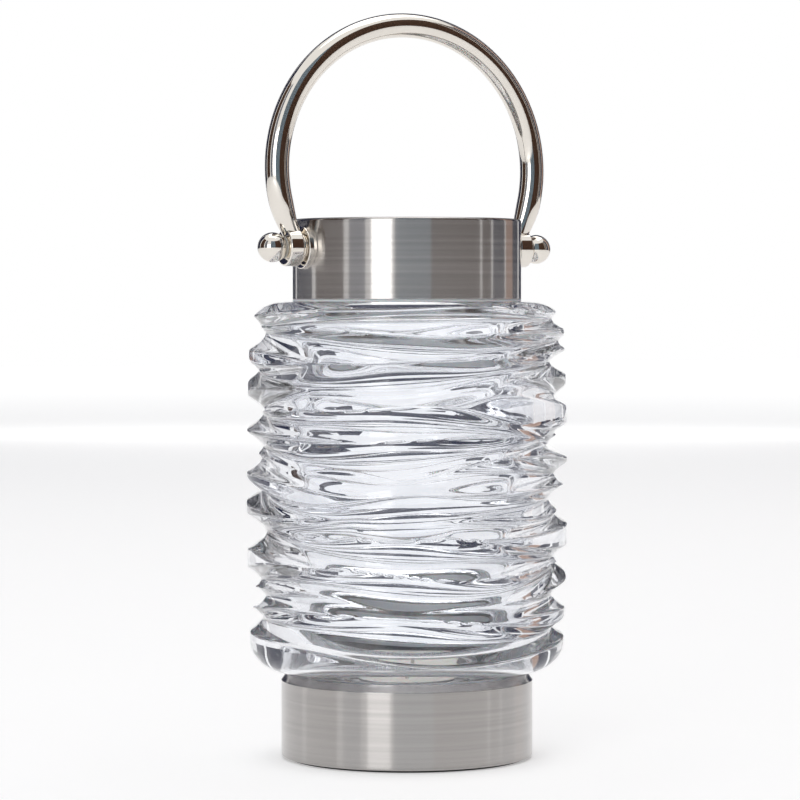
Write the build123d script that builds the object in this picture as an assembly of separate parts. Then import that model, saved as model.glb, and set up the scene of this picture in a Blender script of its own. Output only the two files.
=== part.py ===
from build123d import *
import os

# Candle lantern in millimetres, +Z up, origin in the middle of the underside.
# The handle turns about a level line along X through the two pivots.

# Driving sizes, from the photograph at one third of a millimetre to the pixel
COLLAR_RADIUS = 38.1
COLLAR_HEIGHT = 26.6
BASE_RADIUS = 42.0
BASE_HEIGHT = 27.6
CREST_RADIUS = 53.5
SHOULDER_LEVEL = 152.0
PIVOT_DROP = 9.6
HANDLE_TOP = 247.6
ROD_RADIUS = 4.0
BALL_RADIUS = 4.9

# Sheet metal and small gaps
SHEET = 1.2
END_PLAY = 0.15
RUNNING_GAP = 0.05
CUT_PAST = 1.0

# Base: foot ring, cup and what stands in it
FOOT_THICK = 0.8
FOOT_INNER = 31.0
FOOT_OUTER = 39.5
BEVEL_HEIGHT = 2.4
BEVEL_WIDTH = 1.8
CUP_EDGE_ROUND = 1.0
CUP_FLOOR = FOOT_THICK + SHEET
CUP_TOP = FOOT_THICK + BASE_HEIGHT
CUP_INNER = BASE_RADIUS - SHEET
PAD_THICK = 1.6
PAD_INNER = 31.5
GLASS_LOW = CUP_FLOOR + PAD_THICK
BASE_SEAL_LOW = 17.0
BASE_SEAL_HIGH = 25.0

# Glass: outside, foot, neck and the room inside
WALL = 6.0
VALLEY_RADIUS = 48.4
FOOT_RADIUS = 39.4
FOOT_BORE = 33.0
CUP_MOUTH = FOOT_RADIUS + 0.3
NECK_RADIUS = 36.0
NECK_BORE = 31.5
NECK_TOP = 160.4
RIM_ROUND = 1.0
BOWL_LOW = CUP_TOP + 0.4
BOWL_HEIGHT = 10.0
ARC_BULGE = 0.72
SHOULDER_FLAT = 41.0
SHOULDER_DROP = 9.0
END_NARROWING = 1.2
ROOM_RADIUS = VALLEY_RADIUS - WALL
ROOM_LOW = BOWL_LOW + WALL
ROOM_HIGH = SHOULDER_LEVEL - WALL
ROOM_ROUND = 3.0

# Eight-sided scoops cut round the glass, each a little out of level, that leave sharp ridges between them
SCOOP_COUNT = 13
SCOOP_RADIUS = 5.0
SCOOP_SIDES = 8
SCOOP_TILT = 3.4
SCOOP_TILT_SHARES = (0.6, 1.0)
SCOOP_END_LEVELLING = 0.6
SCOOP_FIRST_TURN = 20.0
SCOOP_TURN = 137.5
SCOOP_LOW = BOWL_LOW + BOWL_HEIGHT + 4.6
SCOOP_HIGH = SHOULDER_LEVEL - SHOULDER_DROP + 1.2

# Collar on the neck
GASKET_THICK = 0.6
COLLAR_LOW = SHOULDER_LEVEL + GASKET_THICK
COLLAR_TOP = COLLAR_LOW + COLLAR_HEIGHT
COLLAR_INNER = COLLAR_RADIUS - SHEET
COLLAR_MOUTH = 34.0
COLLAR_EDGE_ROUND = 0.8
COLLAR_SEAL_LOW = COLLAR_LOW + 1.0
COLLAR_SEAL_HIGH = NECK_TOP - RIM_ROUND

# Pivot stack, measured along X from the lantern's axis
PIVOT_LEVEL = COLLAR_TOP - PIVOT_DROP
SPACER_FLANGE = COLLAR_RADIUS + 1.0
SPACER_FACE = COLLAR_RADIUS + 1.95
SPACER_FLANGE_RADIUS = 7.0
SPACER_BOSS_RADIUS = 4.5
HUB_START = SPACER_FACE + END_PLAY
HUB_LENGTH = 5.0
HUB_END = HUB_START + HUB_LENGTH
HUB_RADIUS = 6.15
HUB_EDGE = 0.5
BUSH_RADIUS = 3.5
SHOULDER_RADIUS = 2.5
THREAD_RADIUS = 2.0
KNOB_FACE = HUB_END + END_PLAY
BALL_SEAT = 3.9
BALL_CENTRE = KNOB_FACE + BALL_SEAT
STUD_END = KNOB_FACE + 5.0
INNER_WASHER_RADIUS = 4.5
INNER_WASHER_FACE = COLLAR_INNER - 1.2
NUT_THICK = 3.2
NUT_ACROSS_FLATS = 7.0
STUD_START = INNER_WASHER_FACE - NUT_THICK - 0.8

# Handle: a ring through its top and the two points where it meets the hubs
ROD_MEETS_HUB = 42.9
ROD_END_RADIUS = 3.0
ROD_TAPER_DEGREES = 16.0
RING_TOP = HANDLE_TOP - ROD_RADIUS
HUB_POINT_LEVEL = PIVOT_LEVEL + HUB_RADIUS - 0.4
RING_CENTRE = (RING_TOP**2 - HUB_POINT_LEVEL**2 - ROD_MEETS_HUB**2) / (2 * (RING_TOP - HUB_POINT_LEVEL))
RING_RADIUS = RING_TOP - RING_CENTRE
RING_DROP = 29.0
SPIGOT_RADIUS = 1.8
SPIGOT_TIP = PIVOT_LEVEL + BUSH_RADIUS + 0.6
SPIGOT_ROOT = 1.0
SPIGOT_END_GAP = 0.2

# Candle pan, its rivets and the tealight
PAN_THICK = 0.6
PAN_RADIUS = 28.0
PAN_RIM_HEIGHT = 4.0
SOCKET_RADIUS = 20.2
SOCKET_HEIGHT = 7.0
RIVET_CIRCLE = 24.5
RIVET_COUNT = 3
RIVET_SHANK = 1.5
RIVET_HEAD = 2.8
RIVET_HEAD_THICK = 0.9
RIVET_HEAD_ROUND = 0.6
CANDLE_RADIUS = 19.0
CANDLE_HEIGHT = 15.0
CANDLE_LOW = CUP_FLOOR + PAN_THICK
FOIL = 0.4
WAX_GAP = 2.2
TAB_RADIUS = 7.0
TAB_THICK = 0.4
CRIMP_RADIUS = 1.5
CRIMP_HEIGHT = 3.0
WICK_RADIUS = 0.8
WICK_RISE = 5.0


# Shapes used more than once
def disc(radius, low, high):
    upright = (Align.CENTER, Align.CENTER, Align.MIN)
    return Pos(0, 0, low) * Cylinder(radius, high - low, align=upright)


def ring(inner, outer, low, high):
    return disc(outer, low, high) - disc(inner, low - CUT_PAST, high + CUT_PAST)


def turned(*corners):
    outline = Polyline(*corners, close=True)
    return revolve(Plane.XZ * make_face(outline), Axis.Z)


def bar(radius, start, end):
    upright = (Align.CENTER, Align.CENTER, Align.MIN)
    return Pos(start, 0, PIVOT_LEVEL) * Rot(0, 90, 0) * Cylinder(radius, end - start, align=upright)


# Base
def foot_ring():
    return ring(FOOT_INNER, FOOT_OUTER, 0, FOOT_THICK)


def pan_rivet_places():
    return PolarLocations(RIVET_CIRCLE, RIVET_COUNT)


def base_cup():
    bevel_low = CUP_TOP - BEVEL_HEIGHT
    outside = turned(
        (0, FOOT_THICK),
        (BASE_RADIUS, FOOT_THICK),
        (BASE_RADIUS, bevel_low),
        (BASE_RADIUS - BEVEL_WIDTH, CUP_TOP),
        (0, CUP_TOP),
    )
    outside = fillet(outside.edges().sort_by(Axis.Z)[0], CUP_EDGE_ROUND)
    inside = turned(
        (0, CUP_FLOOR),
        (CUP_INNER, CUP_FLOOR),
        (CUP_INNER, bevel_low),
        (CUP_MOUTH, CUP_TOP - SHEET / 2),
        (CUP_MOUTH, CUP_TOP + CUT_PAST),
        (0, CUP_TOP + CUT_PAST),
    )
    holes = [place * disc(RIVET_SHANK, 0, CUP_FLOOR + CUT_PAST) for place in pan_rivet_places()]
    return outside - inside - holes


def base_pad():
    return ring(PAD_INNER, CUP_INNER, CUP_FLOOR, GLASS_LOW)


def base_seal():
    return ring(FOOT_RADIUS, CUP_INNER, BASE_SEAL_LOW, BASE_SEAL_HIGH)


def candle_pan():
    wall = PAN_THICK
    floor_top = CUP_FLOOR + PAN_THICK
    floor = disc(PAN_RADIUS, CUP_FLOOR, floor_top)
    rim = ring(PAN_RADIUS - wall, PAN_RADIUS, floor_top, floor_top + PAN_RIM_HEIGHT)
    socket = ring(SOCKET_RADIUS, SOCKET_RADIUS + wall, floor_top, floor_top + SOCKET_HEIGHT)
    holes = [place * disc(RIVET_SHANK, 0, floor_top + CUT_PAST) for place in pan_rivet_places()]
    return floor + rim + socket - holes


def pan_rivets():
    floor_top = CUP_FLOOR + PAN_THICK
    shank = disc(RIVET_SHANK, FOOT_THICK, floor_top)
    head = disc(RIVET_HEAD, floor_top, floor_top + RIVET_HEAD_THICK)
    head = fillet(head.edges().sort_by(Axis.Z)[-1], RIVET_HEAD_ROUND)
    rivet = shank + head
    return Compound(children=[place * rivet for place in pan_rivet_places()])


# Glass
def glass_blank():
    end_radius = CREST_RADIUS - END_NARROWING
    bowl_high = BOWL_LOW + BOWL_HEIGHT
    shoulder_low = SHOULDER_LEVEL - SHOULDER_DROP
    room_in = ROOM_RADIUS - ROOM_ROUND
    bowl_out = FOOT_RADIUS + ARC_BULGE * (end_radius - FOOT_RADIUS)
    bowl_up = BOWL_LOW + (1 - ARC_BULGE) * BOWL_HEIGHT
    shoulder_out = SHOULDER_FLAT + ARC_BULGE * (end_radius - SHOULDER_FLAT)
    shoulder_up = SHOULDER_LEVEL - (1 - ARC_BULGE) * SHOULDER_DROP
    outline = Polyline(
        (FOOT_BORE, ROOM_LOW),
        (FOOT_BORE, GLASS_LOW),
        (FOOT_RADIUS, GLASS_LOW),
        (FOOT_RADIUS, BOWL_LOW),
    )
    outline += ThreePointArc((FOOT_RADIUS, BOWL_LOW), (bowl_out, bowl_up), (end_radius, bowl_high))
    outline += ThreePointArc(
        (end_radius, bowl_high),
        (CREST_RADIUS, (bowl_high + shoulder_low) / 2),
        (end_radius, shoulder_low),
    )
    outline += ThreePointArc(
        (end_radius, shoulder_low),
        (shoulder_out, shoulder_up),
        (SHOULDER_FLAT, SHOULDER_LEVEL),
    )
    outline += Polyline(
        (SHOULDER_FLAT, SHOULDER_LEVEL),
        (NECK_RADIUS, SHOULDER_LEVEL),
        (NECK_RADIUS, NECK_TOP),
        (NECK_BORE, NECK_TOP),
        (NECK_BORE, ROOM_HIGH),
        (room_in, ROOM_HIGH),
    )
    outline += CenterArc((room_in, ROOM_HIGH - ROOM_ROUND), ROOM_ROUND, 0, 90)
    outline += Line((ROOM_RADIUS, ROOM_HIGH - ROOM_ROUND), (ROOM_RADIUS, ROOM_LOW + ROOM_ROUND))
    outline += CenterArc((room_in, ROOM_LOW + ROOM_ROUND), ROOM_ROUND, -90, 90)
    outline += Line((room_in, ROOM_LOW), (FOOT_BORE, ROOM_LOW))
    blank = revolve(Plane.XZ * make_face(outline), Axis.Z)
    return fillet(blank.edges().group_by(Axis.Z)[-1], RIM_ROUND)


def scoop(number):
    share = number / (SCOOP_COUNT - 1)
    level = SCOOP_LOW + (SCOOP_HIGH - SCOOP_LOW) * share
    lean = SCOOP_TILT * SCOOP_TILT_SHARES[number % 2]
    lean *= 1 - SCOOP_END_LEVELLING * (2 * share - 1) ** 6
    turn = SCOOP_FIRST_TURN + number * SCOOP_TURN
    section = Rot(0, 0, 180 / SCOOP_SIDES) * RegularPolygon(SCOOP_RADIUS, SCOOP_SIDES, major_radius=False)
    shape = revolve(Plane.XZ * Pos(VALLEY_RADIUS + SCOOP_RADIUS, 0) * section, Axis.Z)
    return Pos(0, 0, level) * Rot(0, 0, turn) * Rot(lean, 0, 0) * shape


def glass_body():
    glass = glass_blank()
    for number in range(SCOOP_COUNT):
        glass -= scoop(number)
    return glass


# Collar
def top_collar():
    outside = disc(COLLAR_RADIUS, COLLAR_LOW, COLLAR_TOP)
    outside = fillet(outside.edges().sort_by(Axis.Z)[-1], COLLAR_EDGE_ROUND)
    inside = disc(COLLAR_INNER, COLLAR_LOW - CUT_PAST, COLLAR_TOP - SHEET)
    mouth = disc(COLLAR_MOUTH, COLLAR_LOW, COLLAR_TOP + CUT_PAST)
    stud_hole = bar(THREAD_RADIUS, -COLLAR_RADIUS - CUT_PAST, COLLAR_RADIUS + CUT_PAST)
    return outside - inside - mouth - stud_hole


def collar_seal():
    return ring(NECK_RADIUS, COLLAR_INNER, COLLAR_SEAL_LOW, COLLAR_SEAL_HIGH)


def shoulder_gasket():
    return ring(NECK_RADIUS + 0.4, COLLAR_RADIUS - 0.1, SHOULDER_LEVEL, COLLAR_LOW)


# Pivots, made for the right side
def spacer():
    flange = bar(SPACER_FLANGE_RADIUS, COLLAR_INNER, SPACER_FLANGE)
    boss = bar(SPACER_BOSS_RADIUS, COLLAR_INNER, SPACER_FACE)
    stud_hole = bar(THREAD_RADIUS, STUD_START, STUD_END)
    return flange + boss - stud_hole - disc(COLLAR_RADIUS, COLLAR_LOW, COLLAR_TOP)


def pivot_stud():
    thread = bar(THREAD_RADIUS, STUD_START, STUD_END)
    return thread + bar(SHOULDER_RADIUS, SPACER_FACE, KNOB_FACE)


def ball_knob():
    ball = Pos(BALL_CENTRE, 0, PIVOT_LEVEL) * Sphere(BALL_RADIUS)
    seat = bar(BALL_RADIUS, KNOB_FACE - BALL_RADIUS, KNOB_FACE)
    return ball - seat - bar(THREAD_RADIUS, STUD_START, STUD_END)


def inner_washer():
    washer = bar(INNER_WASHER_RADIUS, INNER_WASHER_FACE, COLLAR_RADIUS)
    stud_hole = bar(THREAD_RADIUS, STUD_START, STUD_END)
    return (washer & disc(COLLAR_INNER, COLLAR_LOW, COLLAR_TOP)) - stud_hole


def pivot_nut():
    hexagon = extrude(RegularPolygon(NUT_ACROSS_FLATS / 2, 6, major_radius=False), NUT_THICK)
    nut = Pos(INNER_WASHER_FACE - NUT_THICK, 0, PIVOT_LEVEL) * Rot(0, 90, 0) * hexagon
    return nut - bar(THREAD_RADIUS, STUD_START - CUT_PAST, STUD_END)


# Handle
def handle_path(start, span):
    return Plane.XZ * CenterArc((0, RING_CENTRE), RING_RADIUS, start, span)


def section_at(path, share, radius):
    return Plane(origin=path @ share, z_dir=path % share) * Circle(radius)


def tapered_end():
    path = handle_path(-RING_DROP, ROD_TAPER_DEGREES)
    thin = section_at(path, 0, ROD_END_RADIUS)
    full = section_at(path, 1, ROD_RADIUS)
    return sweep([thin, full], path=path, multisection=True)


def hub_spigot(clearance):
    upright = (Align.CENTER, Align.CENTER, Align.MIN)
    length = PIVOT_LEVEL + HUB_RADIUS + SPIGOT_ROOT - SPIGOT_TIP + clearance
    return Pos(ROD_MEETS_HUB, 0, SPIGOT_TIP - clearance) * Cylinder(SPIGOT_RADIUS, length, align=upright)


def handle_rod():
    full_start = ROD_TAPER_DEGREES - RING_DROP
    path = handle_path(full_start, 180 - 2 * full_start)
    middle = sweep(section_at(path, 0, ROD_RADIUS), path=path)
    right_end = tapered_end() - bar(HUB_RADIUS, COLLAR_RADIUS, BALL_CENTRE) + hub_spigot(0)
    return middle + right_end + mirror(right_end, Plane.YZ)


def handle_hub():
    hub = bar(HUB_RADIUS, HUB_START, HUB_END)
    hub = chamfer(hub.edges().filter_by(GeomType.CIRCLE), HUB_EDGE)
    return hub - bar(BUSH_RADIUS, STUD_START, STUD_END) - hub_spigot(SPIGOT_END_GAP)


def hub_bush():
    bush = bar(BUSH_RADIUS, HUB_START, HUB_END)
    return bush - bar(SHOULDER_RADIUS + RUNNING_GAP, STUD_START, STUD_END)


# Tealight
def tealight_cup():
    outside = disc(CANDLE_RADIUS, CANDLE_LOW, CANDLE_LOW + CANDLE_HEIGHT)
    return outside - disc(CANDLE_RADIUS - FOIL, CANDLE_LOW + FOIL, CANDLE_LOW + CANDLE_HEIGHT + CUT_PAST)


def wick_tab():
    low = CANDLE_LOW + FOIL
    tab = disc(TAB_RADIUS, low, low + TAB_THICK)
    crimp = disc(CRIMP_RADIUS, low, low + TAB_THICK + CRIMP_HEIGHT)
    return tab + crimp - disc(WICK_RADIUS, low + TAB_THICK, low + TAB_THICK + CRIMP_HEIGHT + CUT_PAST)


def wick():
    low = CANDLE_LOW + FOIL + TAB_THICK
    return disc(WICK_RADIUS, low, CANDLE_LOW + CANDLE_HEIGHT - WAX_GAP + WICK_RISE)


def wax():
    fill = disc(CANDLE_RADIUS - FOIL, CANDLE_LOW + FOIL, CANDLE_LOW + CANDLE_HEIGHT - WAX_GAP)
    return fill - wick_tab() - wick()


single_pieces = {
    "foot_ring": foot_ring,
    "base_cup": base_cup,
    "base_pad": base_pad,
    "base_seal": base_seal,
    "candle_pan": candle_pan,
    "pan_rivets": pan_rivets,
    "glass_body": glass_body,
    "shoulder_gasket": shoulder_gasket,
    "collar_seal": collar_seal,
    "top_collar": top_collar,
    "handle_rod": handle_rod,
    "tealight_cup": tealight_cup,
    "tealight_wax": wax,
    "wick": wick,
    "wick_tab": wick_tab,
}

paired_pieces = {
    "spacer": spacer,
    "pivot_stud": pivot_stud,
    "ball_knob": ball_knob,
    "inner_washer": inner_washer,
    "pivot_nut": pivot_nut,
    "handle_hub": handle_hub,
    "hub_bush": hub_bush,
}

os.makedirs("parts", exist_ok=True)

for name, make in single_pieces.items():
    export_step(make(), f"parts/{name}.step")

for name, make in paired_pieces.items():
    piece = make()
    export_step(piece, f"parts/right_{name}.step")
    export_step(mirror(piece, Plane.YZ), f"parts/left_{name}.step")
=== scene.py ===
"""Candle lantern: its looks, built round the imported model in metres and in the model's own frame."""

import logging
import math
from dataclasses import dataclass
from enum import Enum
from typing import Sequence, Union

import bpy
import numpy as np
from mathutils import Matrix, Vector


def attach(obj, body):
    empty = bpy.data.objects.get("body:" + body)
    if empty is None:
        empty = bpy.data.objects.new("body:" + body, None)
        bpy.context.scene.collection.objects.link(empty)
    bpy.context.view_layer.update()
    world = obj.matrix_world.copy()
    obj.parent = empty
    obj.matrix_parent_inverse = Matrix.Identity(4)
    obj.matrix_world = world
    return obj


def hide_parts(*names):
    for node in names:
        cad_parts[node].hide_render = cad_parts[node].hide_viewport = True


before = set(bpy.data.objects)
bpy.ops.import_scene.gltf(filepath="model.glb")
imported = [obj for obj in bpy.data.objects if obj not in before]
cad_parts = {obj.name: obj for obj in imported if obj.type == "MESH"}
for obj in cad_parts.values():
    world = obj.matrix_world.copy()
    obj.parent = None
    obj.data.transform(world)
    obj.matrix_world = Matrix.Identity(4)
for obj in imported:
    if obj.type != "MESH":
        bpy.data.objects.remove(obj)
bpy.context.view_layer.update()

MM = 0.001
MIDDLE = 0.5
TINY = 1e-300
WHITE = (1.0, 1.0, 1.0)
BLACK = (0.0, 0.0, 0.0)
LOG = logging.getLogger("lantern")

Array = np.ndarray
Colour = tuple[float, float, float]


class Body(Enum):
    """The bodies that pieces ride on."""

    LANTERN = "lantern"
    HANDLE = "handle"
    CANDLE = "candle"


class Slot(Enum):
    """The record's material slot names, which no piece in this script takes."""

    GLASS = "clear_glass"
    BAND = "brushed_band"
    POLISHED = "polished_steel"
    FOIL = "tealight_foil"
    WAX = "candle_wax"
    WICK = "wick_cotton"


class Side(Enum):
    """The two ends of the pivot line, by the sign of X."""

    LEFT = -1
    RIGHT = 1

    @property
    def prefix(self) -> str:
        """The word that starts the names of this side's nodes."""
        return self.name.lower()


# Shader maths


class Value:
    """A number in a shader tree; arithmetic on it adds Math nodes."""

    def __init__(self, board: "Board", socket: bpy.types.NodeSocket) -> None:
        """Keeps the socket and the board that it is on."""
        self.board = board
        self.socket = socket

    def _math(self, operation: str, *operands: "Operand") -> "Value":
        """Adds one Math node.

        Args:
            operation: the Math node's operation.
            operands: its inputs in order.

        Returns:
            The node's result.
        """
        node = self.board.node("ShaderNodeMath", {"operation": operation}, dict(enumerate(operands)))
        return self.board.value(node)

    def __add__(self, other: "Operand") -> "Value":
        """Self plus other."""
        return self._math("ADD", self, other)

    __radd__ = __add__

    def __sub__(self, other: "Operand") -> "Value":
        """Self less other."""
        return self._math("SUBTRACT", self, other)

    def __rsub__(self, other: "Operand") -> "Value":
        """Other less self."""
        return self._math("SUBTRACT", other, self)

    def __mul__(self, other: "Operand") -> "Value":
        """Self times other."""
        return self._math("MULTIPLY", self, other)

    __rmul__ = __mul__


Operand = Union[Value, float]
Link = Union[Value, bpy.types.NodeSocket, float, Sequence[float]]


class Board:
    """A node tree that is being filled."""

    def __init__(self, tree: bpy.types.NodeTree) -> None:
        """Keeps the tree."""
        self.tree = tree

    def node(
        self, kind: str, settings: dict[str, object], sockets: dict[Union[int, str], Link]
    ) -> bpy.types.Node:
        """Adds a node.

        Args:
            kind: the node's type.
            settings: its own properties, set first.
            sockets: values or links for its inputs, by name or number.

        Returns:
            The new node.
        """
        node = self.tree.nodes.new(kind)
        for name, setting in settings.items():
            setattr(node, name, setting)
        for key, link in sockets.items():
            self.plug(node.inputs[key], link)
        return node

    def plug(self, socket: bpy.types.NodeSocket, link: Link) -> None:
        """Sets an input to a number or colour, or links it.

        Args:
            socket: the input.
            link: what it takes.
        """
        if isinstance(link, Value):
            self.tree.links.new(link.socket, socket)
        elif isinstance(link, bpy.types.NodeSocket):
            self.tree.links.new(link, socket)
        else:
            socket.default_value = link

    def value(self, node: bpy.types.Node, output: Union[int, str] = 0) -> Value:
        """One output of a node as a number."""
        return Value(self, node.outputs[output])

    def place(self) -> bpy.types.NodeSocket:
        """The place on the piece, in Object coordinates."""
        return self.node("ShaderNodeTexCoord", {}, {}).outputs["Object"]

    def stretched(self, scale: Sequence[float]) -> bpy.types.NodeSocket:
        """Object coordinates, scaled along each axis."""
        sockets = {"Vector": self.place(), "Scale": scale}
        return self.node("ShaderNodeMapping", {"vector_type": "POINT"}, sockets).outputs["Vector"]

    def noise(self, vector: bpy.types.NodeSocket, scale: float, detail: float) -> Value:
        """Cloudy noise about a half.

        Args:
            vector: where it is read.
            scale: its fineness.
            detail: how many finer layers it has.

        Returns:
            The noise.
        """
        sockets = {"Vector": vector, "Scale": scale, "Detail": detail}
        return self.value(self.node("ShaderNodeTexNoise", {}, sockets), "Fac")

    def mixed(self, share: Operand, first: Link, second: Link) -> bpy.types.NodeSocket:
        """Blends two colours.

        Args:
            share: 0 for the first, 1 for the second.
            first: a colour or a link to one.
            second: a colour or a link to one.

        Returns:
            The blend.
        """
        node = self.node("ShaderNodeMix", {"data_type": "RGBA"}, {})
        factor, colour_a, colour_b = node.inputs[0], node.inputs[6], node.inputs[7]
        for socket, link in ((factor, share), (colour_a, first), (colour_b, second)):
            self.plug(socket, opaque(link))
        return node.outputs[2]

    def seen(self) -> Value:
        """1 for what the camera, metal or glass looks at, and 0 for light that falls on matt surfaces."""
        paths = self.node("ShaderNodeLightPath", {}, {})
        direct = self.value(paths, "Is Camera Ray")
        return direct + self.value(paths, "Is Glossy Ray") + self.value(paths, "Is Transmission Ray")

    def bumps(self, height: Value, strength: float, distance: float) -> bpy.types.NodeSocket:
        """A normal that leans with a height.

        Args:
            height: the height.
            strength: how strongly the normal follows it.
            distance: the depth that a height of 1 stands for, in metres.

        Returns:
            The normal.
        """
        sockets = {"Height": height, "Strength": strength, "Distance": distance}
        return self.node("ShaderNodeBump", {}, sockets).outputs["Normal"]


def opaque(link: Link) -> Link:
    """A plain colour with its alpha; anything else as it is."""
    if isinstance(link, tuple):
        return (*link, 1.0)
    return link


# Finishes


@dataclass(frozen=True)
class Finish:
    """A material of one Principled shader."""

    name: str
    colour: Colour
    shade: Colour
    roughness: float

    def material(self) -> bpy.types.Material:
        """The material, made the first time that it is asked for.

        Returns:
            The material.
        """
        finished = f"{self.name}_finish"
        known = bpy.data.materials.get(finished)
        if known is not None:
            return known
        material = bpy.data.materials.new(finished)
        material.use_nodes = True
        board = Board(material.node_tree)
        shader = material.node_tree.nodes["Principled BSDF"]
        self.paint(board, shader.inputs)
        return material

    def paint(self, board: Board, inputs: bpy.types.NodeInputs) -> None:
        """Fills in the shader; each kind of finish has its own way.

        Args:
            board: the material's nodes.
            inputs: the shader's inputs.
        """
        raise NotImplementedError


@dataclass(frozen=True)
class ClearGlass(Finish):
    """Clear glass with a breath of blue, and faint ripples left by the tools."""

    index: float = 1.5
    cloud_scale: float = 30.0
    ripple_scale: float = 90.0
    ripple_depth: float = 0.00004
    ripple_strength: float = 0.5
    detail: float = 1.0

    def paint(self, board: Board, inputs: bpy.types.NodeInputs) -> None:
        """Tints by a slow cloud and ripples the surface a little."""
        place = board.place()
        cloud = board.noise(place, self.cloud_scale, self.detail)
        ripple = board.noise(place, self.ripple_scale, self.detail)
        board.plug(inputs["Base Color"], board.mixed(cloud, self.colour, self.shade))
        board.plug(inputs["Normal"], board.bumps(ripple, self.ripple_strength, self.ripple_depth))
        board.plug(inputs["Roughness"], self.roughness)
        board.plug(inputs["IOR"], self.index)
        board.plug(inputs["Transmission Weight"], 1.0)


@dataclass(frozen=True)
class TurnedSteel(Finish):
    """Steel with fine lines that run round an upright axis.

    Pull stretches reflections, and across is the share of a turn that sets the stretch across the lines.
    """

    line_scale: float = 900.0
    drift_scale: float = 7.0
    line_depth: float = 0.000012
    line_roughness: float = 0.05
    line_strength: float = 0.4
    detail: float = 2.0
    metallic: float = 1.0
    pull: float = 0.0
    across: float = 0.25

    def paint(self, board: Board, inputs: bpy.types.NodeInputs) -> None:
        """Lines come from noise that is long round the axis and short along it."""
        place = board.stretched((self.drift_scale, self.drift_scale, self.line_scale))
        lines = board.noise(place, 1.0, self.detail)
        board.plug(inputs["Base Color"], board.mixed(lines, self.shade, self.colour))
        board.plug(inputs["Roughness"], self.roughness + (lines - MIDDLE) * self.line_roughness)
        board.plug(inputs["Normal"], board.bumps(lines, self.line_strength, self.line_depth))
        board.plug(inputs["Metallic"], self.metallic)
        board.plug(inputs["Anisotropic"], self.pull)
        board.plug(inputs["Anisotropic Rotation"], self.across)


@dataclass(frozen=True)
class SmoothMetal(Finish):
    """Metal without a grain, with faint clouds of handling."""

    cloud_scale: float = 120.0
    cloud_roughness: float = 0.06
    detail: float = 3.0

    def paint(self, board: Board, inputs: bpy.types.NodeInputs) -> None:
        """Clouds change the colour and the roughness a little."""
        cloud = board.noise(board.place(), self.cloud_scale, self.detail)
        board.plug(inputs["Base Color"], board.mixed(cloud, self.shade, self.colour))
        board.plug(inputs["Roughness"], self.roughness + (cloud - MIDDLE) * self.cloud_roughness)
        board.plug(inputs["Metallic"], 1.0)


@dataclass(frozen=True)
class SoftSolid(Finish):
    """Rubber, silicone, nylon, wax, cotton or card, with a fine grain."""

    grain_scale: float = 900.0
    grain_depth: float = 0.00004
    glow: float = 0.0
    glow_reach: float = 0.002
    grain_strength: float = 0.4
    detail: float = 3.0

    def paint(self, board: Board, inputs: bpy.types.NodeInputs) -> None:
        """Grain changes the colour and lifts the surface; glow lets light through."""
        grain = board.noise(board.place(), self.grain_scale, self.detail)
        board.plug(inputs["Base Color"], board.mixed(grain, self.shade, self.colour))
        board.plug(inputs["Normal"], board.bumps(grain, self.grain_strength, self.grain_depth))
        board.plug(inputs["Roughness"], self.roughness)
        board.plug(inputs["Subsurface Weight"], self.glow)
        board.plug(inputs["Subsurface Scale"], self.glow_reach)


GLASS = ClearGlass("clear_glass", (0.985, 0.99, 1.0), (0.93, 0.95, 0.99), 0.0)
BAND_STEEL = TurnedSteel("brushed_band", (0.56, 0.54, 0.525), (0.36, 0.345, 0.335), 0.19, pull=1.0)
PAN_STEEL = TurnedSteel("pan_steel", (0.72, 0.72, 0.73), (0.6, 0.6, 0.61), 0.35, metallic=0.5)
POLISHED_STEEL = SmoothMetal("polished_steel", (0.82, 0.78, 0.72), (0.74, 0.7, 0.64), 0.06)
FASTENER_STEEL = SmoothMetal("fastener_steel", (0.62, 0.62, 0.63), (0.5, 0.5, 0.51), 0.3)
FOIL = SmoothMetal("tealight_foil", (0.82, 0.82, 0.83), (0.7, 0.7, 0.71), 0.28)
RUBBER = SoftSolid("foot_rubber", (0.045, 0.045, 0.048), (0.025, 0.025, 0.027), 0.75)
SILICONE = SoftSolid("seal_silicone", (0.8, 0.82, 0.84), (0.68, 0.7, 0.73), 0.45, glow=0.3)
NYLON = SoftSolid("bush_nylon", (0.86, 0.85, 0.82), (0.76, 0.75, 0.71), 0.5)
WAX = SoftSolid("candle_wax", (0.93, 0.91, 0.86), (0.86, 0.83, 0.76), 0.4, 160.0, glow=0.4)
COTTON = SoftSolid("wick_cotton", (0.85, 0.83, 0.77), (0.5, 0.47, 0.42), 0.9, 2600.0)

NODE_FINISHES: dict[Finish, tuple[str, ...]] = {
    RUBBER: ("foot_ring",),
    SILICONE: ("base_pad", "base_seal", "shoulder_gasket", "collar_seal"),
    PAN_STEEL: ("candle_pan",),
    FASTENER_STEEL: ("pan_rivets", "wick_tab"),
}
PAIRED_FINISHES: dict[Finish, tuple[str, ...]] = {
    FASTENER_STEEL: ("pivot_stud", "inner_washer", "pivot_nut"),
    NYLON: ("hub_bush",),
}


# Surfaces in millimetres


@dataclass
class Surface:
    """Points and faces of a closed surface."""

    points: Array
    quads: Array
    fans: Array

    def laid_along_x(self, level: float) -> "Surface":
        """Turns a surface about Z into one about a line along X.

        Args:
            level: the height of that line.

        Returns:
            The turned surface: the old Z becomes X.
        """
        x, y, z = self.points.T
        turned = np.stack([z, y, level - x], axis=1)
        return Surface(turned, self.quads, self.fans)

    def mirrored(self) -> "Surface":
        """The same surface on the other side of the YZ plane, with its faces still outwards."""
        points = self.points * np.array([-1.0, 1.0, 1.0])
        return Surface(points, self.quads[:, ::-1], self.fans[:, ::-1])


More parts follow.
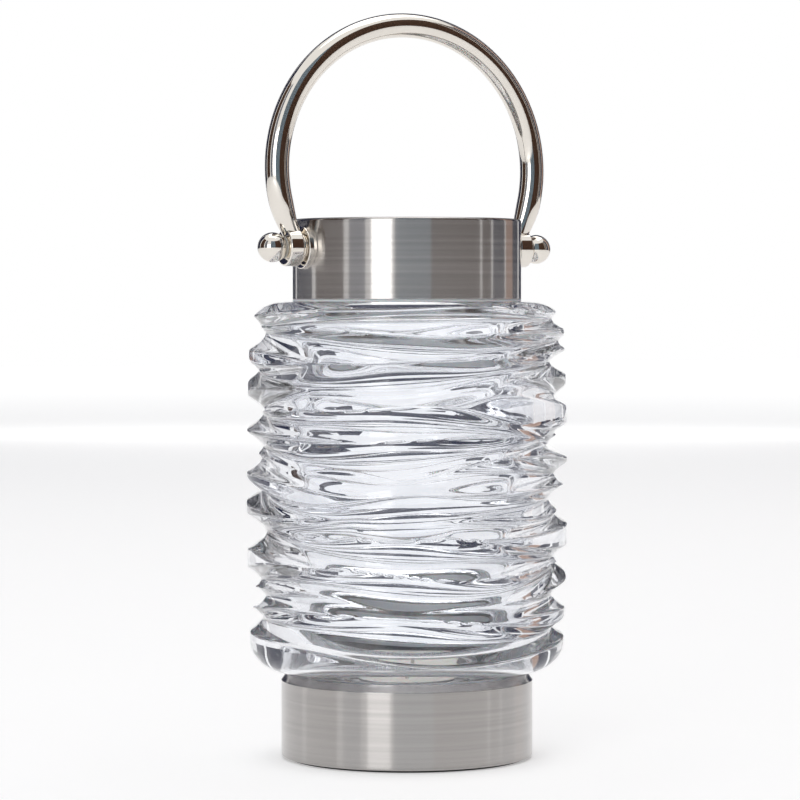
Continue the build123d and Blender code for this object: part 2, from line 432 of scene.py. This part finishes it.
def grid_quads(rows: int, steps: int, closed: bool) -> Array:
    """Quads of a grid of points that closes round its steps.

    Args:
        rows: how many rows of points there are.
        steps: how many points there are in a row.
        closed: whether the last row joins the first.

    Returns:
        Four point numbers for each quad.
    """
    index = np.arange(rows * steps).reshape(rows, steps)
    here = index if closed else index[:-1]
    above = np.roll(index, -1, axis=0) if closed else index[1:]
    corners = [here, np.roll(here, -1, axis=1), np.roll(above, -1, axis=1), above]
    return np.stack(corners, axis=-1).reshape(-1, 4)


def end_fans(rows: int, steps: int) -> Array:
    """Triangles that close the first and last row of a grid onto two added points.

    Args:
        rows: how many rows the grid has.
        steps: how many points there are in a row.

    Returns:
        Three point numbers for each triangle; the added points follow the grid's own.
    """
    first = np.arange(steps)
    last = first + (rows - 1) * steps
    low_pole = np.full(steps, rows * steps)
    high_pole = low_pole + 1
    low = np.stack([low_pole, np.roll(first, -1), first], axis=1)
    high = np.stack([high_pole, last, np.roll(last, -1)], axis=1)
    return np.concatenate([low, high])


def turned_ring(radius: Array, level: Array, turn: Array) -> Surface:
    """A ring-shaped body: each row of points lies at its radius and level, all round the axis.

    Args:
        radius: distance from the axis, by row and step.
        level: height, by row and step.
        turn: angle about the axis of each step, in radians.

    Returns:
        The closed surface; its rows run up the outside and down the inside.
    """
    points = np.stack([radius * np.cos(turn), radius * np.sin(turn), level], axis=-1)
    quads = grid_quads(radius.shape[0], radius.shape[1], closed=True)
    return Surface(points.reshape(-1, 3), quads, np.empty((0, 3), int))


def full_turn(steps: int) -> Array:
    """Angles of evenly spread steps, in radians."""
    return np.arange(steps) * (2 * math.pi / steps)


def lathe_ring(outline: Array, steps: int) -> Surface:
    """Turns a closed outline of radius and height about Z.

    Args:
        outline: pairs of radius and height, up the outside and down the inside.
        steps: how many points there are round the axis.

    Returns:
        The closed surface.
    """
    turn = full_turn(steps)
    radius = np.repeat(outline[:, :1], steps, axis=1)
    level = np.repeat(outline[:, 1:], steps, axis=1)
    return turned_ring(radius, level, turn)


def lathe_solid(outline: Array, steps: int) -> Surface:
    """Turns an open outline, from the lower end of the axis to the upper, about Z.

    Args:
        outline: pairs of radius and height, off the axis.
        steps: how many points there are round the axis.

    Returns:
        The surface, closed by a fan at each end.
    """
    turn = full_turn(steps)
    radius = np.repeat(outline[:, :1], steps, axis=1)
    level = np.repeat(outline[:, 1:], steps, axis=1)
    grid = np.stack([radius * np.cos(turn), radius * np.sin(turn), level], axis=-1).reshape(-1, 3)
    poles = np.array([[0.0, 0.0, outline[0, 1]], [0.0, 0.0, outline[-1, 1]]])
    rows = len(outline)
    quads = grid_quads(rows, steps, closed=False)
    return Surface(np.concatenate([grid, poles]), quads, end_fans(rows, steps))


def unit(vectors: Array) -> Array:
    """Vectors brought to length 1."""
    return vectors / np.linalg.norm(vectors, axis=-1, keepdims=True)


def rounded(corners: Sequence[tuple[float, float, float]], steps: int = 6, hold: float = 0.12) -> Array:
    """An outline whose corners are arcs.

    Each arc starts and ends where it touches the straight sides, and a point a little before and after
    it holds the sides flat.

    Args:
        corners: radius, height and arc radius of each corner, counter-clockwise.
        steps: points on each arc.
        hold: how far the holding points stand off the arc.

    Returns:
        Pairs of radius and height.
    """
    table = np.array(corners)
    points = table[:, :2]
    bend = table[:, 2:]
    into = unit(points - np.roll(points, 1, axis=0))
    away = unit(np.roll(points, -1, axis=0) - points)
    cross = into[:, 0] * away[:, 1] - into[:, 1] * away[:, 0]
    turn = np.arctan2(cross, (into * away).sum(axis=1))
    start = points - into * bend * np.abs(np.tan(turn / 2))[:, None]
    end = points + away * bend * np.abs(np.tan(turn / 2))[:, None]
    inward = np.stack([-into[:, 1], into[:, 0]], axis=1) * np.sign(turn)[:, None]
    centre = start + inward * bend
    angle = turn[:, None] * np.linspace(0, 1, steps)
    arm = start - centre
    arc_x = arm[:, :1] * np.cos(angle) - arm[:, 1:] * np.sin(angle)
    arc_y = arm[:, :1] * np.sin(angle) + arm[:, 1:] * np.cos(angle)
    arc = centre[:, None, :] + np.stack([arc_x, arc_y], axis=-1)
    before = (start - into * hold)[:, None, :]
    after = (end + away * hold)[:, None, :]
    return np.concatenate([before, arc, after], axis=1).reshape(-1, 2)


def make_piece(
    name: str,
    surface: Surface,
    finish: Finish,
    body: Body,
    nodes: Sequence[str],
    crease: float = 50.0,
) -> bpy.types.Object:
    """Makes a surface into a piece that stands for CAD nodes.

    Args:
        name: the piece's name.
        surface: its shape in millimetres.
        finish: what it is made of.
        body: the body that it rides on.
        nodes: the CAD nodes that it replaces.
        crease: the angle, in degrees, past which an edge stays sharp.

    Returns:
        The new object.
    """
    mesh = bpy.data.meshes.new(name)
    faces = surface.quads.tolist() + surface.fans.tolist()
    mesh.from_pydata((surface.points * MM).tolist(), [], faces)
    mesh.shade_smooth()
    mesh.set_sharp_from_angle(angle=math.radians(crease))
    mesh.materials.append(finish.material())
    mesh.update()
    piece = bpy.data.objects.new(name, mesh)
    bpy.context.scene.collection.objects.link(piece)
    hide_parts(*nodes)
    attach(piece, body.value)
    LOG.info("%s: %d faces, rides on %s", name, len(faces), body.value)
    return piece


def dress(node: str, finish: Finish) -> None:
    """Gives a CAD node its finish.

    Args:
        node: the node's name.
        finish: what it is made of.
    """
    for material_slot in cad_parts[node].material_slots:
        material_slot.material = finish.material()
    LOG.info("%s: finished as %s", node, finish.name)


def smooth_rise(share: Array) -> Array:
    """Rises from 0 to 1 with level ends as the share goes from 0 to 1."""
    held = np.clip(share, 0.0, 1.0)
    return held * held * (3 - 2 * held)


# Sub-assemblies


@dataclass
class GlassBody:
    """The glass: a thick wall with scoops worked round it, which tilt, sway and meet in fine crests."""

    foot_low: float = 3.6
    foot_radius: float = 39.4
    foot_bore: float = 33.0
    bowl_low: float = 28.8
    bowl_high: float = 38.8
    crest_radius: float = 53.5
    end_radius: float = 52.3
    shoulder_low: float = 143.0
    shoulder_top: float = 152.0
    shoulder_flat: float = 41.0
    neck_radius: float = 36.0
    neck_top: float = 160.4
    neck_bore: float = 31.5
    room_low: float = 34.8
    room_high: float = 146.0
    room_radius: float = 42.4
    corner: float = 1.0
    room_corner: float = 3.0
    small_corner: float = 0.3
    scoop_count: int = 13
    scoop_low: float = 45.0
    scoop_high: float = 146.0
    scoop_turn: float = 137.5
    scoop_start: float = 20.0
    face_heading: float = -117.0
    valley: float = 49.0
    side_drop: float = 1.0
    valley_roll: float = 1.2
    face_depth: float = 1.5
    side_depth: float = 5.1
    power: float = 1.5
    crest_soft: float = 0.1
    land_soft: float = 0.35
    wander: float = 1.6
    end_calm: float = 0.6
    calm_power: int = 5
    least_lean: tuple[float, ...] = (1.6, 0.8, 0.2)
    most_lean: tuple[float, ...] = (3.4, 2.0, 0.7)
    width_sway: float = 0.15
    quick_roll: float = 0.6
    quicker_roll: float = 0.4
    seed: int = 7
    steps: int = 288
    rows: int = 270

    def blank(self, level: Array) -> Array:
        """The outline that holds every scoop: a bowl, a barrel and a shoulder.

        The bowl and the shoulder are quarters of ellipses, and the barrel a flat parabola.

        Args:
            level: heights.

        Returns:
            The radius at each height.
        """
        middle = (self.bowl_high + self.shoulder_low) / 2
        half = (self.shoulder_low - self.bowl_high) / 2
        barrel = self.crest_radius - (self.crest_radius - self.end_radius) * ((level - middle) / half) ** 2
        bowl_share = np.clip((self.bowl_high - level) / (self.bowl_high - self.bowl_low), 0, 1)
        shoulder_share = np.clip((level - self.shoulder_low) / (self.shoulder_top - self.shoulder_low), 0, 1)
        bowl = self.foot_radius + (self.end_radius - self.foot_radius) * np.sqrt(1 - bowl_share**2)
        slope = self.end_radius - self.shoulder_flat
        shoulder = self.shoulder_flat + slope * np.sqrt(1 - shoulder_share**2)
        return np.where(level < self.bowl_high, bowl, np.where(level > self.shoulder_low, shoulder, barrel))

    def scooped(self, turn: Array, level: Array) -> Array:
        """What the scoops leave of a thick wall.

        Each scoop is a power curve in height about a line that tilts and sways round the glass. Its floor
        rises and falls slowly; it is shallow on the front and back faces and deep at the sides. Where two
        scoops meet, the lower one wins by a soft minimum, which leaves a fine crest.

        Args:
            turn: angle about the axis.
            level: height.

        Returns:
            The radius.
        """
        rng = np.random.default_rng(self.seed)
        reach = self.scoop_high - self.scoop_low
        half = reach / (self.scoop_count - 1) / 2
        sideways = np.sin(turn - math.radians(self.face_heading)) ** 2
        depth = self.face_depth + (self.side_depth - self.face_depth) * sideways
        left = np.zeros(level.shape)
        for number in range(self.scoop_count):
            share = number / (self.scoop_count - 1)
            freedom = self.wander * (1 - self.end_calm * abs(2 * share - 1) ** self.calm_power)
            tilt, sway, waver = rng.uniform(self.least_lean, self.most_lean)
            phase = rng.uniform(0, 2 * math.pi, 6)
            lean = tilt * np.sin(turn - math.radians(self.scoop_start + self.scoop_turn * number))
            lean = lean + sway * np.sin(2 * turn + phase[0]) + waver * np.sin(3 * turn + phase[1])
            line = self.scoop_low + reach * share + freedom * lean
            wide = half * (1 + self.width_sway * np.sin(turn + phase[2]))
            roll = np.sin(turn + phase[3]) + self.quick_roll * np.sin(4 * turn + phase[4])
            roll = roll + self.quicker_roll * np.sin(5 * turn + phase[5])
            floor = self.valley_roll * roll - self.side_drop * sideways
            rise = floor + depth * (np.abs(level - line) / wide) ** self.power
            left += np.exp(-rise / self.crest_soft)
        return self.valley - self.crest_soft * np.log(np.maximum(left, TINY))

    def outside(self, turn: Array) -> tuple[Array, Array]:
        """The scooped outside, from the bowl's foot to the shoulder.

        Args:
            turn: angle of each step.

        Returns:
            Radius and level by row and step.
        """
        level = np.linspace(self.bowl_low, self.shoulder_top, self.rows)[:, None] + np.zeros_like(turn)
        scooped = self.scooped(turn, level)
        blank = self.blank(level)
        gap = (scooped - blank) / self.land_soft
        eased = blank - self.land_soft * np.logaddexp(0.0, -gap)
        return np.minimum(eased, blank), level

    def inside(self) -> Array:
        """The neck, the room and the foot's bore, from the top of the shoulder back to the foot.

        Returns:
            Pairs of radius and height.
        """
        corner = self.corner
        room = self.room_corner
        small = self.small_corner
        return rounded(
            (
                (self.neck_radius, self.shoulder_top, small),
                (self.neck_radius, self.neck_top, corner),
                (self.neck_bore, self.neck_top, corner),
                (self.neck_bore, self.room_high, corner),
                (self.room_radius, self.room_high, room),
                (self.room_radius, self.room_low, room),
                (self.foot_bore, self.room_low, corner),
                (self.foot_bore, self.foot_low, small),
                (self.foot_radius, self.foot_low, small),
            )
        )[1:]

    def build(self) -> None:
        """Makes the glass, which lets lamp light through to the pieces inside and to the floor."""
        turn = full_turn(self.steps)
        radius, level = self.outside(turn)
        inner = np.repeat(self.inside()[:, :, None], self.steps, axis=2)
        radius = np.concatenate([radius, inner[:, 0]])
        level = np.concatenate([level, inner[:, 1]])
        glass = make_piece(
            "ridged_glass",
            turned_ring(radius, level, turn),
            GLASS,
            Body.LANTERN,
            ("glass_body",),
        )
        glass.visible_shadow = False
        glass.visible_diffuse = False


@dataclass
class BaseCup:
    """The steel cup that the glass stands in, with a bevelled lip."""

    radius: float = 42.0
    low: float = 0.8
    high: float = 28.4
    bevel_height: float = 2.4
    bevel_width: float = 1.8
    sheet: float = 1.2
    mouth: float = 39.7
    bottom_round: float = 0.5
    edge_round: float = 0.25
    centre_radius: float = 0.5
    steps: int = 256

    def build(self) -> None:
        """Makes the cup; its floor closes onto a small disc at the axis."""
        edge = self.edge_round
        bevel_low = self.high - self.bevel_height
        inner = self.radius - self.sheet
        floor = self.low + self.sheet
        outline = rounded(
            (
                (self.centre_radius, self.low, edge),
                (self.radius, self.low, self.bottom_round),
                (self.radius, bevel_low, edge),
                (self.radius - self.bevel_width, self.high, edge),
                (self.mouth, self.high, edge / 2),
                (self.mouth, self.high - self.sheet / 2, edge / 2),
                (inner, bevel_low, edge),
                (inner, floor, edge),
                (self.centre_radius, floor, edge),
            )
        )
        surface = lathe_ring(outline, self.steps)
        make_piece("steel_base_cup", surface, BAND_STEEL, Body.LANTERN, ("base_cup",))


@dataclass
class TopCollar:
    """The steel band on the neck, rolled in at the top to leave an open mouth."""

    radius: float = 38.1
    low: float = 152.6
    high: float = 179.2
    sheet: float = 1.2
    mouth: float = 34.0
    top_round: float = 0.8
    edge_round: float = 0.25
    steps: int = 256

    def build(self) -> None:
        """Makes the band."""
        edge = self.edge_round
        inner = self.radius - self.sheet
        outline = rounded(
            (
                (inner, self.low, edge),
                (self.radius, self.low, edge),
                (self.radius, self.high, self.top_round),
                (self.mouth, self.high, edge),
                (self.mouth, self.high - self.sheet, edge),
                (inner, self.high - self.sheet, edge),
            )
        )
        surface = lathe_ring(outline, self.steps)
        make_piece("steel_collar", surface, BAND_STEEL, Body.LANTERN, ("top_collar",))


@dataclass
class Pivot:
    """One end of the pivot line: a spacer on the collar, the handle's hub and a ball knob outside it."""

    side: Side
    level: float = 169.6
    flange_start: float = 37.0
    flange_end: float = 39.1
    boss_end: float = 40.05
    flange_radius: float = 7.0
    boss_radius: float = 4.5
    stud_radius: float = 2.0
    hub_start: float = 40.2
    hub_end: float = 45.2
    hub_radius: float = 6.15
    hub_bore: float = 3.5
    ball_radius: float = 4.9
    ball_face: float = 45.35
    ball_centre: float = 49.25
    pole_angle: float = 0.02
    edge_round: float = 0.3
    steps: int = 96

    def placed(self, surface: Surface) -> Surface:
        """Lays a surface along the pivot line on this side."""
        along = surface.laid_along_x(self.level)
        return along if self.side is Side.RIGHT else along.mirrored()

    def build(self) -> None:
        """Makes the spacer, the hub and the knob."""
        edge = self.edge_round
        spacer = rounded(
            (
                (self.stud_radius, self.flange_start, edge),
                (self.flange_radius, self.flange_start, edge),
                (self.flange_radius, self.flange_end, edge),
                (self.boss_radius, self.flange_end, edge),
                (self.boss_radius, self.boss_end, edge),
                (self.stud_radius, self.boss_end, edge),
            )
        )
        hub = rounded(
            (
                (self.hub_bore, self.hub_start, edge),
                (self.hub_radius, self.hub_start, 2 * edge),
                (self.hub_radius, self.hub_end, 2 * edge),
                (self.hub_bore, self.hub_end, edge),
            )
        )
        shapes = (
            ("spacer", lathe_ring(spacer, self.steps), Body.LANTERN),
            ("handle_hub", lathe_ring(hub, self.steps), Body.HANDLE),
            ("ball_knob", lathe_solid(self.ball(), self.steps), Body.LANTERN),
        )
        for word, surface, body in shapes:
            node = f"{self.side.prefix}_{word}"
            make_piece(f"polished_{node}", self.placed(surface), POLISHED_STEEL, body, (node,))

    def ball(self) -> Array:
        """The ball's outline: a circle from its flat seat to its outer end.

        Returns:
            Pairs of radius and distance along the pivot line.
        """
        seat_angle = math.acos((self.ball_centre - self.ball_face) / self.ball_radius)
        angle = np.linspace(math.pi - seat_angle, self.pole_angle, self.steps // 2)
        along = self.ball_centre + self.ball_radius * np.cos(angle)
        return np.stack([self.ball_radius * np.sin(angle), along], axis=1)


@dataclass
class HandleRod:
    """The round bar bent to most of a ring, which thins towards the hubs."""

    centre: float = 195.99
    ring_radius: float = 47.61
    rod_radius: float = 4.0
    end_radius: float = 3.0
    drop: float = 29.0
    taper: float = 16.0
    steps: int = 64
    rows: int = 200

    def build(self) -> None:
        """Makes the bar: a circle carried round the ring, its radius eased down over the last stretch."""
        heading = np.radians(np.linspace(180 + self.drop, -self.drop, self.rows))[:, None]
        from_end = self.drop + 90 - np.abs(np.degrees(heading) - 90)
        thick = self.end_radius + (self.rod_radius - self.end_radius) * smooth_rise(from_end / self.taper)
        turn = full_turn(self.steps)
        reach = self.ring_radius + thick * np.cos(turn)
        aside = -thick * np.sin(turn) + 0 * heading
        above = self.centre + reach * np.sin(heading)
        points = np.stack([reach * np.cos(heading), aside, above], axis=-1)
        last = heading[[0, -1], 0]
        ends = self.ring_radius * np.stack([np.cos(last), 0 * last, np.sin(last)], axis=1)
        grid = np.concatenate([points.reshape(-1, 3), ends + np.array([0, 0, self.centre])])
        quads = grid_quads(self.rows, self.steps, closed=False)
        surface = Surface(grid, quads, end_fans(self.rows, self.steps))
        make_piece("ring_handle", surface, POLISHED_STEEL, Body.HANDLE, ("handle_rod",))


@dataclass
class Tealight:
    """The loose tealight: a fluted foil cup, wax with a meniscus and a plaited wick."""

    radius: float = 19.0
    low: float = 2.6
    high: float = 17.6
    foil: float = 0.4
    flutes: int = 60
    flute_depth: float = 0.12
    wax_gap: float = 2.2
    meniscus: float = 0.7
    meniscus_width: float = 1.2
    wick_radius: float = 0.8
    wick_rise: float = 5.0
    wick_lean: float = 0.5
    strands: int = 3
    strand_relief: float = 0.12
    strand_twist: float = 1.6
    tip_round: float = 0.6
    edge_round: float = 0.15
    centre_radius: float = 0.4
    flute_start: float = 1.0
    flute_fade: float = 0.8
    wax_clearance: float = 0.05
    wax_corner: float = 0.3
    wax_rows: int = 40
    wick_rows: int = 80
    wick_steps: int = 24
    steps: int = 240

    def build(self) -> None:
        """Makes the three pieces."""
        self.build_cup()
        self.build_wax()
        self.build_wick()

    def build_cup(self) -> None:
        """Makes the cup; its flutes are a wave round the wall that fades at the floor."""
        edge = self.edge_round
        inner = self.radius - self.foil
        outline = rounded(
            (
                (self.centre_radius, self.low, edge),
                (self.radius, self.low, 2 * edge),
                (self.radius, self.high, edge),
                (inner, self.high, edge),
                (inner, self.low + self.foil, edge),
                (self.centre_radius, self.low + self.foil, edge),
            )
        )
        turn = full_turn(self.steps)
        on_wall = smooth_rise((outline[:, :1] - (inner - self.flute_start)) / self.flute_fade)
        wave = self.flute_depth * (1 + np.cos(self.flutes * turn)) / 2
        radius = outline[:, :1] - on_wall * wave
        level = np.repeat(outline[:, 1:], self.steps, axis=1)
        make_piece(
            "foil_cup", turned_ring(radius, level, turn), FOIL, Body.CANDLE, ("tealight_cup",)
        )

    def build_wax(self) -> None:
        """Makes the wax; its top rises to the foil and to the wick as a falling exponential."""
        top = self.high - self.wax_gap
        outer = self.radius - self.foil - self.flute_depth
        reach = np.linspace(outer, self.wick_radius, self.wax_rows)
        to_foil = np.exp(-(outer - reach) / self.meniscus_width)
        to_wick = np.exp(-(reach - self.wick_radius) / self.meniscus_width)
        top_line = np.stack([reach, top - self.meniscus + self.meniscus * (to_foil + to_wick)], axis=1)
        floor = self.low + self.foil + self.wax_clearance
        corner = self.wax_corner
        side = np.array([[self.centre_radius, floor], [outer - corner, floor], [outer, floor + corner]])
        outline = np.concatenate([side, top_line])
        make_piece(
            "wax_fill", lathe_solid(outline, self.steps // 2), WAX, Body.CANDLE, ("tealight_wax",)
        )

    def build_wick(self) -> None:
        """Makes the wick: a circle with a lobe for each strand, which twists as it climbs and leans."""
        foot = self.low + 2 * self.foil
        tip = self.high - self.wax_gap + self.wick_rise
        level = np.linspace(foot, tip, self.wick_rows)[:, None]
        turn = full_turn(self.wick_steps)
        lobes = 1 + self.strand_relief * (np.cos(self.strands * turn - self.strand_twist * level) - 1)
        to_tip = np.clip((tip - level) / self.tip_round + MIDDLE, 0, 1)
        radius = self.wick_radius * lobes * np.sqrt(to_tip)
        lean = self.wick_lean * np.clip((level - (self.high - self.wax_gap)) / self.wick_rise, 0, 1) ** 2
        points = np.stack(
            [lean + radius * np.cos(turn), radius * np.sin(turn), level + 0 * turn],
            axis=-1,
        )
        poles = np.array([[0, 0, foot], [self.wick_lean, 0, tip]])
        rows = len(level)
        surface = Surface(
            np.concatenate([points.reshape(-1, 3), poles]),
            grid_quads(rows, len(turn), closed=False),
            end_fans(rows, len(turn)),
        )
        make_piece("plaited_wick", surface, COTTON, Body.CANDLE, ("wick",))


# Studio


@dataclass(frozen=True)
class Card:
    """A plain upright card that stands round the lantern, out of the picture.

    First and last are the headings of its two edges in degrees from the camera, positive towards the
    picture's right. Low and high are the heights of its lower and upper edges.
    """

    name: str
    first: float
    last: float
    finish: SoftSolid
    low: float = 40.0
    high: float = 3000.0


NAVY_CARD = SoftSolid("navy_card", (0.022, 0.028, 0.075), (0.015, 0.02, 0.055), 0.95)
BROWN_CARD = SoftSolid("brown_card", (0.1, 0.052, 0.032), (0.075, 0.038, 0.023), 0.95)
GREY_CARD = SoftSolid("grey_card", (0.3, 0.32, 0.38), (0.26, 0.28, 0.34), 0.95)
SLATE_CARD = SoftSolid("slate_card", (0.26, 0.34, 0.41), (0.22, 0.3, 0.37), 0.95)
PEACH_CARD = SoftSolid("peach_card", (0.72, 0.48, 0.37), (0.66, 0.43, 0.33), 0.95)


@dataclass(frozen=True)
class Lamp:
    """A square soft lamp that faces the lantern, placed to the right, towards the camera and up."""

    name: str
    aside: float
    ahead: float
    above: float
    width: float
    power: float


@dataclass
class Studio:
    """Floor, world, lamps, cards and camera."""

    camera_heading: float = -27.0
    camera_distance: float = 1089.0
    camera_level: float = 152.4
    aim_level: float = 119.1
    aim_aside: float = 2.3
    lens: float = 147.0
    sensor: float = 36.0
    floor_half: float = 6000.0
    floor_colour: Colour = (0.9, 0.9, 0.9)
    floor_fleck: Colour = (0.92, 0.92, 0.92)
    floor_grain: float = 40.0
    floor_detail: float = 2.0
    floor_roughness: float = 0.95
    floor_lift: float = 0.32
    ambient: float = 0.85
    bounces: int = 32
    glossy_bounces: int = 16
    lamps: tuple[Lamp, ...] = (
        Lamp("key_lamp", 250.0, -900.0, 4000.0, 3000.0, 42.0),
        Lamp("fill_lamp", -1020.0, 2160.0, 560.0, 900.0, 8.0),
    )
    card_reach: float = 2600.0
    card_steps: int = 12
    cards: tuple[Card, ...] = (
        Card("back_left_card", -168.0, -150.0, NAVY_CARD),
        Card("far_left_card", -146.0, -110.0, NAVY_CARD),
        Card("left_card", -104.0, -66.0, BROWN_CARD),
        Card("near_left_card", -60.0, -42.0, GREY_CARD),
        Card("front_card", -12.0, 24.0, SLATE_CARD),
        Card("near_right_card", 24.0, 78.0, BROWN_CARD),
        Card("right_card", 80.5, 93.0, BROWN_CARD),
        Card("side_right_card", 95.5, 115.0, NAVY_CARD),
        Card("warm_card", 117.0, 132.0, PEACH_CARD),
        Card("far_right_card", 132.0, 148.0, NAVY_CARD),
        Card("back_right_card", 152.0, 168.0, NAVY_CARD),
        Card("back_high_card", 168.0, 192.0, NAVY_CARD, 560.0),
    )

    def build(self) -> None:
        """Makes the stage, the light and the camera."""
        bpy.context.scene.view_settings.view_transform = "Standard"
        cycles = bpy.context.scene.cycles
        cycles.max_bounces = self.bounces
        cycles.transmission_bounces = self.bounces
        cycles.glossy_bounces = self.glossy_bounces
        self.build_floor()
        self.build_world()
        for lamp in self.lamps:
            self.build_lamp(lamp)
        for card in self.cards:
            self.build_card(card)
        self.build_camera()

    def build_floor(self) -> None:
        """Makes a pale floor that is seen as white where no shadow falls, in metal and glass too."""
        half = self.floor_half * MM
        mesh = bpy.data.meshes.new("floor")
        corners = [(-half, -half, 0), (half, -half, 0), (half, half, 0), (-half, half, 0)]
        mesh.from_pydata(corners, [], [(0, 1, 2, 3)])
        material = bpy.data.materials.new("floor_paper")
        material.use_nodes = True
        board = Board(material.node_tree)
        inputs = material.node_tree.nodes["Principled BSDF"].inputs
        grain = board.noise(board.place(), self.floor_grain, self.floor_detail)
        board.plug(inputs["Base Color"], board.mixed(grain, self.floor_colour, self.floor_fleck))
        board.plug(inputs["Roughness"], self.floor_roughness)
        board.plug(inputs["Specular IOR Level"], 0.0)
        board.plug(inputs["Emission Strength"], self.floor_lift)
        board.plug(inputs["Emission Color"], board.mixed(board.seen(), BLACK, WHITE))
        mesh.materials.append(material)
        floor = bpy.data.objects.new("floor", mesh)
        bpy.context.scene.collection.objects.link(floor)

    def toward_camera(self) -> Vector:
        """The level direction from the lantern to the camera."""
        heading = math.radians(self.camera_heading)
        return Vector((math.sin(heading), -math.cos(heading), 0.0))

    def rightward(self) -> Vector:
        """The level direction to the picture's right."""
        heading = math.radians(self.camera_heading)
        return Vector((math.cos(heading), math.sin(heading), 0.0))

    def build_world(self) -> None:
        """Makes the surroundings: white as seen, in metal and glass too, and an even level of light."""
        world = bpy.data.worlds.new("studio")
        world.use_nodes = True
        bpy.context.scene.world = world
        board = Board(world.node_tree)
        level = self.ambient
        colour = board.mixed(board.seen(), (level, level, level), WHITE)
        board.plug(world.node_tree.nodes["Background"].inputs["Color"], colour)

    def build_card(self, card: Card) -> None:
        """Stands up one card, hidden from the camera alone.

        It is part of an upright cylinder: each foot point lies at the reach, along the cosine of its heading
        times the direction to the camera plus the sine times the direction to the right.

        Args:
            card: the card.
        """
        heading = np.radians(np.linspace(card.first, card.last, self.card_steps))[:, None]
        ahead = np.cos(heading) * np.array(self.toward_camera())
        aside = np.sin(heading) * np.array(self.rightward())
        foot = (ahead + aside) * self.card_reach * MM
        points = np.concatenate([foot + np.array((0.0, 0.0, edge * MM)) for edge in (card.low, card.high)])
        first = np.arange(self.card_steps - 1)
        quads = np.stack((first, first + 1, first + 1 + self.card_steps, first + self.card_steps), axis=1)
        mesh = bpy.data.meshes.new(card.name)
        mesh.from_pydata(points.tolist(), [], quads.tolist())
        mesh.materials.append(card.finish.material())
        stand = bpy.data.objects.new(card.name, mesh)
        bpy.context.scene.collection.objects.link(stand)
        stand.visible_camera = False

    def build_lamp(self, lamp: Lamp) -> None:
        """Hangs one lamp, which the camera alone doesn't see.

        Args:
            lamp: the lamp.
        """
        data = bpy.data.lights.new(lamp.name, "AREA")
        data.size = lamp.width * MM
        data.energy = lamp.power
        hung = bpy.data.objects.new(lamp.name, data)
        bpy.context.scene.collection.objects.link(hung)
        spot = self.rightward() * lamp.aside + self.toward_camera() * lamp.ahead + Vector((0, 0, lamp.above))
        hung.location = spot * MM
        hung.rotation_euler = (-hung.location).to_track_quat("-Z", "Y").to_euler()
        hung.visible_camera = False

    def build_camera(self) -> None:
        """Sets the camera at the photograph's height and heading."""
        data = bpy.data.cameras.new("camera")
        data.lens = self.lens
        data.sensor_width = self.sensor
        camera = bpy.data.objects.new("camera", data)
        bpy.context.scene.collection.objects.link(camera)
        aside = self.rightward() * -self.aim_aside
        spot = aside + self.toward_camera() * self.camera_distance + Vector((0, 0, self.camera_level))
        aim = aside + Vector((0, 0, self.aim_level))
        camera.location = spot * MM
        camera.rotation_euler = (aim - spot).to_track_quat("-Z", "Y").to_euler()
        bpy.context.scene.camera = camera


def dress_nodes() -> None:
    """Gives every CAD node that stays its finish."""
    for finish, nodes in NODE_FINISHES.items():
        for node in nodes:
            dress(node, finish)
    for finish, words in PAIRED_FINISHES.items():
        for side in Side:
            for word in words:
                dress(f"{side.prefix}_{word}", finish)


def main() -> None:
    """Builds the lantern and its studio."""
    logging.basicConfig(level=logging.INFO, format="%(message)s")
    for assembly in (
        BaseCup(),
        GlassBody(),
        TopCollar(),
        Pivot(Side.LEFT),
        Pivot(Side.RIGHT),
        HandleRod(),
        Tealight(),
    ):
        assembly.build()
    dress_nodes()
    Studio().build()


if __name__ == "__main__":
    main()
